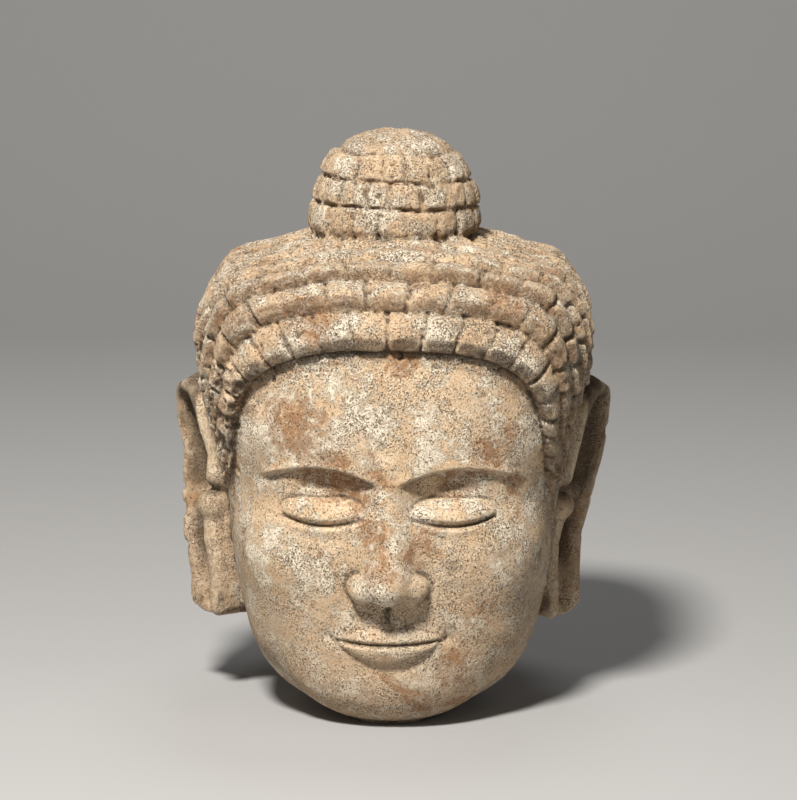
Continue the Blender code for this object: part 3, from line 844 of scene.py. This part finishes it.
def settled_heights(p, moved, n):
    """Heights of the moved points, with a shallow break under the neck and nothing below the floor."""
    x, y, z = p.T
    under = (z < 1.5) & (n[:, 2] < -0.6)
    rim_share = np.hypot(x / NECK_HALF_WIDTH, (y - NECK_Y) / NECK_HALF_DEPTH)
    broken = (1 - between(rim_share, 0.6, 0.95)) * (BREAK_DEPTH + 1.4 * layered(moved, 14, 71))
    return np.where(under, np.clip(broken, 0.0, 3.0), np.maximum(moved[:, 2], 0.0))


def store_ear_shades(mesh, u, z, on_ear):
    """Stores painted shade for the ears' hollows, slit and recess, and a painted highlight on their
    ridges, where they catch the light.
    """
    hollow = between(u, 10, 13) * (1 - 0.6 * between(u, 26, 32)) * between(z, 100, 118)
    slit = bump(u - 21.5, 4.2) * between(z, 50, 84) * (1 - between(z, 100, 106))
    recess = bump(u - 6, 5) * bump(z - 113, 5)
    shade = np.maximum.reduce([hollow, slit, recess])
    store(mesh, "ear_shade", shade * on_ear)
    # Painted highlight on the helix and lobe ridges
    helix_u = np.interp(z, (108, 134, 146, 156, 163), (6, 7, 9, 12, 16.5))
    helix = bump(u - helix_u, 4.5) * between(z, 108, 116)
    lobe = 0.6 * bump(u - 7, 5) * (1 - between(z, 100, 106))
    store(mesh, "ear_ridge_highlight", np.maximum(helix, lobe) * (1 - shade) * on_ear)


def store_hair_shades(mesh, moved, y, z, on_hair):
    """Stores painted shade where the hair faces down and on the wall that rises from the ledge between
    two rows.
    """
    _, carved = points_and_normals(mesh)
    place = row_places(y, z) + row_waver(moved)
    ledge = (1 - between(place % 1.0, 0.18, 0.30)) * (place > 0.9) * between(243.0 - z, 0, 8)
    ledge *= 0.5 + 0.5 * (place < 3) + 0.4 * grain(moved, 16, 57)
    overhung_shade = np.maximum(between(-carved[:, 2], 0.05, 0.55), np.clip(ledge, 0, 1))
    store(mesh, "overhung_shade", overhung_shade * on_hair)


def carve(mesh):
    """Moves every point of the fused mesh along its normal, and stores which region it is in."""
    p, n = points_and_normals(mesh)
    x, y, z = p.T
    feet, heads = row_planes(ROWS)
    up = (heads[0] - feet[0]) / np.linalg.norm(heads[0] - feet[0])
    behind = (y - feet[0][0]) * up[1] - (z - feet[0][1]) * up[0]
    ear_u, on_ear = ear_places(x, y, z)
    on_hair = between(hair_distance(p), -7.5, -5.0) * between(behind, -4.0, -1.0)
    on_hair = np.maximum(on_hair, between(z, *KNOT_HAIR_Z)) * (1 - on_ear)

    moved = worked(p, n, on_hair, ear_u, on_ear)
    moved[:, 2] = settled_heights(p, moved, n)
    mesh.vertices.foreach_set("co", (moved * PART).ravel())
    mesh.update()

    store(mesh, "hair", on_hair)
    store(mesh, "ear", on_ear)
    store_ear_shades(mesh, ear_u, z, on_ear)
    store_hair_shades(mesh, moved, y, z, on_hair)
    # Painted shadow under the fringe, where the surface faces down beneath the front row's edge
    facing = up[0] * n[:, 2] - up[1] * n[:, 1]
    under_fringe = between(facing, 0.72, 0.92) * bump(behind, 2.5)
    store(mesh, "fringe_shadow", under_fringe * between(hair_distance(moved), -16, -10))


def points_and_normals(mesh):
    """Places in parts and normals of a mesh's points."""
    p = np.empty(len(mesh.vertices) * 3)
    mesh.vertices.foreach_get("co", p)
    n = np.empty(len(mesh.vertices) * 3)
    mesh.vertex_normals.foreach_get("vector", n)
    return p.reshape(-1, 3) / PART, n.reshape(-1, 3)


def store(mesh, name, values):
    """Stores one value per point for the material to read."""
    layer = mesh.attributes.new(name, "FLOAT", "POINT")
    layer.data.foreach_set("value", np.ascontiguousarray(values, dtype=np.float32))


def cavities(mesh):
    """Stores how far each point lies below its neighbourhood, at two scales."""
    count = len(mesh.vertices)
    co, n = points_and_normals(mesh)
    ends = np.empty(len(mesh.edges) * 2, dtype=np.int64)
    mesh.edges.foreach_get("vertices", ends)
    a, b = ends.reshape(-1, 2).T
    links = np.maximum(np.bincount(a, minlength=count) + np.bincount(b, minlength=count), 1)
    smooth = co.copy()
    for done in range(1, WIDE_ROUNDS + 1):
        total = np.stack(
            [
                np.bincount(a, weights=smooth[b, axis], minlength=count)
                + np.bincount(b, weights=smooth[a, axis], minlength=count)
                for axis in range(3)
            ],
            axis=-1,
        )
        smooth = total / links[:, None]
        if done == FINE_ROUNDS:
            store(mesh, "fine_cavity", np.sum((smooth - co) * n, axis=1))
    store(mesh, "cavity", np.sum((smooth - co) * n, axis=1))


def head_piece():
    """The head's one mesh, carved and thinned to the wanted number of triangles."""
    mesh = fused([skull_solid(), hair_solid(), knot_solid(), ear_solid(1), ear_solid(-1)])
    carve(mesh)
    cavities(mesh)
    piece = bpy.data.objects.new(PIECE, mesh)
    bpy.context.scene.collection.objects.link(piece)
    thin = piece.modifiers.new("thin", "DECIMATE")
    thin.ratio = min(1.0, TRIANGLES / (2.0 * len(mesh.polygons)))
    thin.use_collapse_triangulate = True
    slim = baked(piece)
    piece.modifiers.clear()
    piece.data = slim
    bpy.data.meshes.remove(mesh)
    slim.name = PIECE
    slim.shade_smooth()
    return piece


# Material

# Middles and sizes of the strongest brown stains
STAINS = (
    ((-44, -84, 158), 22),
    ((-30, -86, 137), 19),
    ((-12, -92, 124), 13),
    ((-7, -100, 106), 12),
    ((-5, -106, 88), 11),
    ((48, -78, 146), 17),
    ((36, -84, 132), 12),
    ((58, -66, 96), 13),
    ((44, -74, 66), 15),
    ((30, -84, 34), 13),
    ((-66, -56, 92), 14),
    ((8, -96, 196), 12),
    ((-40, -92, 214), 15),
    ((60, -80, 222), 14),
)


# Colours of the stone, with painted shade, shadow and highlight among them, in the order they are laid
# on
WARM_STONE = (0.53, 0.375, 0.23)
PALE_STONE = (0.63, 0.48, 0.325)
MOTTLED_STONE = (0.45, 0.285, 0.15)
LOW_STONE = (0.33, 0.235, 0.155)
HAIR_STONE = (0.36, 0.245, 0.15)
STAIN_BROWN = (0.29, 0.15, 0.07)
GREY_STONE = (0.36, 0.305, 0.235)
LIME_CRUST = (0.74, 0.66, 0.525)
EAR_BROWN = (0.32, 0.205, 0.115)
PIT_DARK = (0.10, 0.063, 0.036)
GRIT_BROWN = (0.22, 0.14, 0.08)
PALE_GRAIN = (0.84, 0.755, 0.60)
# Painted shade on the hair's downward faces and row walls
LEDGE_PAINTED_SHADE = (0.22, 0.135, 0.075)
# Painted highlight on the ears' ridges
RIDGE_HIGHLIGHT = (0.78, 0.66, 0.48)
# Darkening in hollows and grooves, with painted shade in the ears and painted shadow under the fringe
HOLLOW_DARK_AND_PAINTED_SHADE = (0.07, 0.048, 0.03)
RUBBED = (0.70, 0.58, 0.42)

# Depth of the finest relief, in parts
BUMP_DEPTH = 1.0


class Nodes:
    """Short ways to add and link shader nodes. Sizes are in parts."""

    def __init__(self, material):
        self.tree = material.node_tree

    def add(self, kind, **settings):
        node = self.tree.nodes.new(kind)
        for name, value in settings.items():
            setattr(node, name, value)
        return node

    def put(self, socket, value):
        if isinstance(value, bpy.types.NodeSocket):
            self.tree.links.new(value, socket)
        else:
            socket.default_value = value

    def attribute(self, name):
        return self.add("ShaderNodeAttribute", attribute_name=name).outputs["Fac"]

    def noise(self, place, size, detail=4.0, rough=0.55, distortion=0.0):
        node = self.add("ShaderNodeTexNoise")
        self.put(node.inputs["Vector"], place)
        node.inputs["Scale"].default_value = 1.0 / (size * PART)
        node.inputs["Detail"].default_value = detail
        node.inputs["Roughness"].default_value = rough
        node.inputs["Distortion"].default_value = distortion
        return node.outputs["Fac"]

    def cells(self, place, size):
        """Distance to the nearest of many scattered points."""
        node = self.add("ShaderNodeTexVoronoi", feature="F1")
        self.put(node.inputs["Vector"], place)
        node.inputs["Scale"].default_value = 1.0 / (size * PART)
        node.inputs["Randomness"].default_value = 1.0
        return node.outputs["Distance"]

    def ramp(self, value, low, high, to_low=0.0, to_high=1.0):
        """A smooth step from to_low at low to to_high at high."""
        node = self.add("ShaderNodeMapRange", interpolation_type="SMOOTHSTEP", clamp=True)
        for socket, v in zip(node.inputs[:5], (value, low, high, to_low, to_high)):
            self.put(socket, v)
        return node.outputs["Result"]

    def math(self, operation, a, b):
        node = self.add("ShaderNodeMath", operation=operation)
        self.put(node.inputs[0], a)
        self.put(node.inputs[1], b)
        return node.outputs[0]

    def plus(self, a, b):
        return self.math("ADD", a, b)

    def minus(self, a, b):
        return self.math("SUBTRACT", a, b)

    def times(self, a, b):
        return self.math("MULTIPLY", a, b)

    def larger(self, a, b):
        return self.math("MAXIMUM", a, b)

    def mix(self, share, a, b):
        node = self.add("ShaderNodeMix", data_type="RGBA", clamp_factor=True)
        self.put(node.inputs["Factor"], share)
        for socket, colour in ((node.inputs[6], a), (node.inputs[7], b)):
            self.put(socket, colour if isinstance(colour, bpy.types.NodeSocket) else (*colour, 1.0))
        return node.outputs[2]


def ground_colour(n, place, mottle, hair, low):
    """Colour of the bare stone, darker low down and in the hair."""
    base = n.mix(n.ramp(n.noise(place, 30, 4), 0.38, 0.62), WARM_STONE, PALE_STONE)
    base = n.mix(n.ramp(mottle, 0.42, 0.75, 0.0, 0.5), base, MOTTLED_STONE)
    base = n.mix(n.times(low, n.ramp(mottle, 0.3, 0.6, 0.6, 1.0)), base, LOW_STONE)
    return n.mix(n.times(hair, n.ramp(mottle, 0.36, 0.66, 0.05, 0.5)), base, HAIR_STONE)


def brown_stain(n, place, mottle):
    """Share of brown stain: random patches, and the strongest ones in their places."""
    stain = n.ramp(n.noise(place, 30, 6, 0.62, 0.5), 0.56, 0.66)
    ragged = n.times(n.minus(mottle, 0.5), 1.8)
    for middle, size in STAINS:
        spot = n.add("ShaderNodeVectorMath", operation="DISTANCE")
        n.put(spot.inputs[0], place)
        spot.inputs[1].default_value = tuple(PART * c for c in middle)
        reach = n.plus(n.math("DIVIDE", spot.outputs["Value"], size * PART), ragged)
        stain = n.larger(stain, n.ramp(reach, 0.6, 1.0, 1.0, 0.0))
    return n.times(stain, n.ramp(n.noise(place, 2.6, 4, 0.7), 0.34, 0.54, 0.4, 1.0))


def lime_share(n, place, grit, ear, stain, low):
    """Share of pale lime crust, thinner on the ears, over stains and low down."""
    crust = n.plus(n.noise(place, 17, 8, 0.74, 0.3), n.times(n.minus(grit, 0.5), 0.34))
    lime = n.times(n.ramp(crust, 0.50, 0.54), n.ramp(ear, 0.0, 1.0, 0.85, 0.35))
    lime = n.times(lime, n.ramp(stain, 0.2, 0.9, 1.0, 0.45))
    return n.times(lime, n.ramp(low, 0.0, 0.5, 1.0, 0.55))


def pit_share(n, place, dense, lime, hair):
    """Share of dark pits, closer together in places, in the lime and in the hair, and a few holes."""
    drive = n.plus(n.noise(place, 0.95, 2.5, 0.65, 0.4), n.times(n.minus(dense, 0.5), 0.26))
    drive = n.plus(drive, n.times(lime, 0.045))
    drive = n.plus(drive, n.times(hair, 0.03))
    holes = n.ramp(n.cells(place, 6.5), 0.05, 0.10, 0.8, 0.0)
    return n.larger(n.ramp(drive, 0.575, 0.67), holes)


def hollow_dark_and_painted_shade_share(n, mottle, grit, cavity):
    """Share of darkening in hollows and grooves, of painted shade in the ears' hollows and slit, and of
    painted shadow under the fringe.
    """
    darkening = n.ramp(cavity, 0.30, 1.25, 0.0, 0.92)
    darkening = n.larger(darkening, n.ramp(n.attribute("fine_cavity"), 0.05, 0.30, 0.0, 0.75))
    darkening = n.times(darkening, n.ramp(mottle, 0.30, 0.55, 0.6, 1.0))
    # Painted shade in the ears' hollows and slit
    darkening = n.larger(darkening, n.ramp(n.attribute("ear_shade"), 0.0, 0.9, 0.0, 0.9))
    # Painted shadow under the fringe
    darkening = n.larger(darkening, n.ramp(n.attribute("fringe_shadow"), 0.0, 0.8, 0.0, 0.85))
    return n.times(darkening, n.ramp(grit, 0.36, 0.62, 0.78, 1.0))


def stone_material():
    """Pale brown stone with stains, lime and pits, darker in hollows and grooves, with painted shade and
    shadow in the ears and under the hair's rows and fringe and a painted highlight on the ears' ridges,
    placed by noise and by the mesh's regions.
    """
    material = bpy.data.materials.new(SLOT)
    material.use_nodes = True
    n = Nodes(material)
    shader = material.node_tree.nodes["Principled BSDF"]
    place = n.add("ShaderNodeTexCoord").outputs["Object"]
    axes = n.add("ShaderNodeSeparateXYZ")
    n.put(axes.inputs[0], place)
    low = n.ramp(axes.outputs["Z"], 0.015, 0.12, 0.5, 0.0)
    hair = n.attribute("hair")
    ear = n.attribute("ear")
    cavity = n.attribute("cavity")
    grit = n.noise(place, 0.8, 3, 0.75)
    mottle = n.noise(place, 5, 5, 0.65)
    dense = n.noise(place, 14, 5, 0.6)

    base = ground_colour(n, place, mottle, hair, low)
    stain = brown_stain(n, place, mottle)
    base = n.mix(n.times(stain, 0.95), base, STAIN_BROWN)
    grey = n.ramp(n.noise(place, 40, 5, 0.6, 0.3), 0.56, 0.68, 0.0, 0.5)
    base = n.mix(grey, base, GREY_STONE)
    lime = lime_share(n, place, grit, ear, stain, low)
    base = n.mix(lime, base, LIME_CRUST)
    base = n.mix(n.times(ear, n.ramp(mottle, 0.35, 0.65, 0.35, 0.75)), base, EAR_BROWN)

    pits = pit_share(n, place, dense, lime, hair)
    base = n.mix(n.times(pits, 0.9), base, PIT_DARK)
    gritty = n.plus(n.times(lime, 0.25), n.ramp(dense, 0.42, 0.60, 0.25, 0.70))
    base = n.mix(n.times(n.ramp(grit, 0.50, 0.62), gritty), base, GRIT_BROWN)
    specks = n.times(n.ramp(grit, 0.48, 0.34, 0.0, 0.7), n.ramp(stain, 0.1, 0.9, 1.0, 0.35))
    base = n.mix(n.times(specks, n.ramp(dense, 0.40, 0.60, 0.35, 1.0)), base, PALE_GRAIN)

    # Painted shade on the hair's downward faces and row walls
    shaded = n.times(n.attribute("overhung_shade"), n.ramp(mottle, 0.35, 0.6, 0.5, 0.9))
    base = n.mix(shaded, base, LEDGE_PAINTED_SHADE)
    # Painted highlight on the ears' ridges, where they should catch the light
    ridge = n.times(n.attribute("ear_ridge_highlight"), n.ramp(mottle, 0.35, 0.6, 0.9, 0.45))
    base = n.mix(n.times(ridge, n.ramp(grit, 0.42, 0.6, 1.0, 0.4)), base, RIDGE_HIGHLIGHT)
    # Darker in hollows and grooves, plus painted shade in the ears and painted shadow under the fringe
    base = n.mix(hollow_dark_and_painted_shade_share(n, mottle, grit, cavity), base, HOLLOW_DARK_AND_PAINTED_SHADE)
    rubbed = n.ramp(n.times(cavity, -1.0), 0.3, 1.2, 0.0, 0.35)
    base = n.mix(rubbed, base, RUBBED)
    n.put(shader.inputs["Base Color"], base)
    n.put(shader.inputs["Roughness"], n.ramp(grit, 0.3, 0.7, 0.82, 0.96))
    shader.inputs["Specular IOR Level"].default_value = 0.25

    coarse = n.times(n.noise(place, 4, 6, 0.7), n.ramp(hair, 0.0, 1.0, 0.9, 2.2))
    relief = n.plus(coarse, n.times(grit, 0.5))
    relief = n.minus(relief, n.times(pits, 0.8))
    relief = n.plus(relief, n.times(lime, 0.25))
    finest = n.add("ShaderNodeBump")
    finest.inputs["Distance"].default_value = BUMP_DEPTH * PART
    finest.inputs["Strength"].default_value = 1.0
    n.put(finest.inputs["Height"], relief)
    n.put(shader.inputs["Normal"], finest.outputs["Normal"])
    return material


# Stage, in metres

FLOOR_COLOUR = (0.34, 0.338, 0.335)
FLOOR_HALF_WIDTH = 3.0
FLOOR_FRONT_Y = -3.0
BEND_Y = 1.2
BEND_RADIUS = 0.8
BACKDROP_TOP = 3.0

# Lights: name, place, aim, width, power and colour
LIGHTS = (
    ("key", (-0.34, -1.20, 1.66), (0.0, -0.02, 0.16), 0.34, 78, (1.0, 0.965, 0.915)),
    ("left_fill", (-1.5, -1.0, 0.75), (0.0, 0.0, 0.15), 0.8, 1.8, (1.0, 0.98, 0.95)),
    ("right_fill", (1.5, -1.1, 0.85), (0.0, 0.0, 0.15), 0.8, 2.6, (1.0, 0.98, 0.95)),
    ("top", (0.1, 0.6, 1.7), (0.0, 0.0, 0.2), 0.7, 6, (1.0, 1.0, 1.0)),
)
AMBIENT_COLOUR = (0.9, 0.93, 1.0)
AMBIENT_STRENGTH = 0.04

CAMERA_AIM = (0.00215, 0.0, 0.15762)
CAMERA_AZIMUTH = math.radians(2.0)
CAMERA_ELEVATION = math.radians(10.0)
CAMERA_DISTANCE = 2.2
LENS_MM = 187.87
SENSOR_MM = 36.0


def plain_material(name, colour, roughness):
    material = bpy.data.materials.new(name)
    material.use_nodes = True
    shader = material.node_tree.nodes["Principled BSDF"]
    shader.inputs["Base Color"].default_value = (*colour, 1.0)
    shader.inputs["Roughness"].default_value = roughness
    return material


def floor():
    """A plain pale floor that sweeps up behind the head."""
    profile = [(FLOOR_FRONT_Y, 0.0), (BEND_Y, 0.0)]
    for a in np.linspace(0.15, math.pi / 2, 10):
        profile.append((BEND_Y + BEND_RADIUS * math.sin(a), BEND_RADIUS - BEND_RADIUS * math.cos(a)))
    profile.append((BEND_Y + BEND_RADIUS, BACKDROP_TOP))
    bm = bmesh.new()
    left = [bm.verts.new((-FLOOR_HALF_WIDTH, y, z)) for y, z in profile]
    right = [bm.verts.new((FLOOR_HALF_WIDTH, y, z)) for y, z in profile]
    for i in range(len(profile) - 1):
        bm.faces.new((left[i], right[i], right[i + 1], left[i + 1]))
    mesh = bpy.data.meshes.new("floor")
    bm.to_mesh(mesh)
    bm.free()
    mesh.shade_smooth()
    obj = bpy.data.objects.new("floor", mesh)
    bpy.context.scene.collection.objects.link(obj)
    mesh.materials.append(plain_material("pale_floor", FLOOR_COLOUR, 0.7))
    return obj


def turn_to(obj, direction):
    """Turns a light or camera to look along a direction."""
    obj.rotation_euler = Vector(direction).to_track_quat("-Z", "Y").to_euler()


def area_light(name, place, aim, width, power, colour):
    light = bpy.data.lights.new(name, "AREA")
    light.shape = "DISK"
    light.size = width
    light.energy = power
    light.color = colour
    obj = bpy.data.objects.new(name, light)
    obj.location = place
    turn_to(obj, np.array(aim) - np.array(place))
    bpy.context.scene.collection.objects.link(obj)


def camera():
    level = math.cos(CAMERA_ELEVATION)
    away = np.array(
        [
            math.sin(CAMERA_AZIMUTH) * level,
            -math.cos(CAMERA_AZIMUTH) * level,
            math.sin(CAMERA_ELEVATION),
        ]
    )
    lens = bpy.data.cameras.new("camera")
    lens.lens = LENS_MM
    lens.sensor_width = SENSOR_MM
    lens.sensor_fit = "HORIZONTAL"
    lens.clip_end = 20.0
    obj = bpy.data.objects.new("camera", lens)
    obj.location = np.array(CAMERA_AIM) + CAMERA_DISTANCE * away
    turn_to(obj, -away)
    bpy.context.scene.collection.objects.link(obj)
    bpy.context.scene.camera = obj


def studio():
    """A soft key light from the upper left, weak fills, and a faint light all round."""
    for light in LIGHTS:
        area_light(*light)
    world = bpy.data.worlds.new("studio")
    world.use_nodes = True
    background = world.node_tree.nodes["Background"]
    background.inputs["Color"].default_value = (*AMBIENT_COLOUR, 1.0)
    background.inputs["Strength"].default_value = AMBIENT_STRENGTH
    bpy.context.scene.world = world


def main():
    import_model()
    bpy.context.scene.view_settings.view_transform = "Standard"
    piece = head_piece()
    piece.data.materials.append(stone_material())
    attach(piece, "root")
    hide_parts("head")
    floor()
    studio()
    camera()


main()
